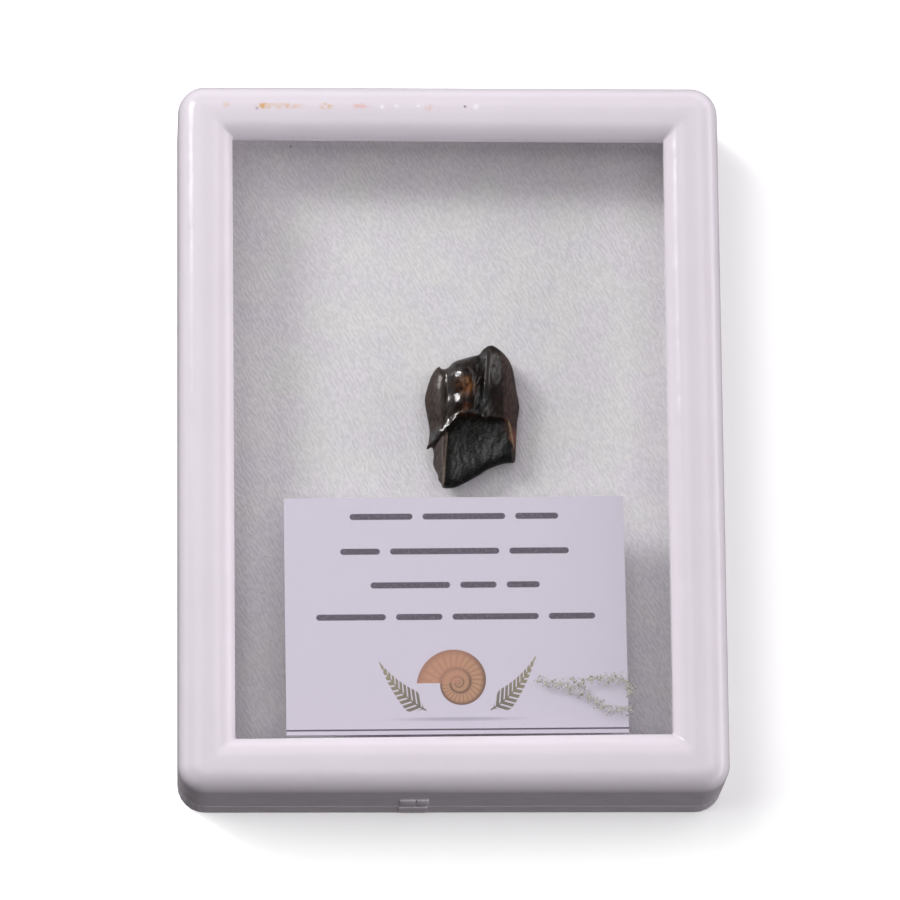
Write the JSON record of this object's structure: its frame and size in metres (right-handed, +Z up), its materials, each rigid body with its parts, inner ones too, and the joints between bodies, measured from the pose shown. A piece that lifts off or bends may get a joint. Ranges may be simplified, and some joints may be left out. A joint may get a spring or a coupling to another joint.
{
  "type": "fossil dinosaur tooth in a display case",
  "caption": "Dark broken fossil tooth with worn enamel crown, lying on a fibre pad in a shallow white plastic case with a clear window and a paper label card.",
  "frame": {"origin": "centre of the case's footprint at the underside of the tray", "axes": "+Z up out of the window, +Y along the case's long side from the card towards the tooth, +X to the right as the card is read"},
  "size_m": [0.0826, 0.1098, 0.019],
  "materials": {
    "white_plastic": "satin white moulded plastic with a faint lilac cast",
    "clear_pane": "clear flat pane with light dust and a dried smear",
    "fibre_pad": "white needled fibre with a fine grain",
    "card_paper": null,
    "fossil_enamel": "dark brown to black, glossy on the enamel and matte on the broken root"
  },
  "bodies": {
    "root": {"base_tray": "white_plastic", "lid_frame": "white_plastic", "window": "clear_pane", "backing_pad": "fibre_pad", "tooth": "fossil_enamel", "label_card": "card_paper"}
  },
  "joints": []
}
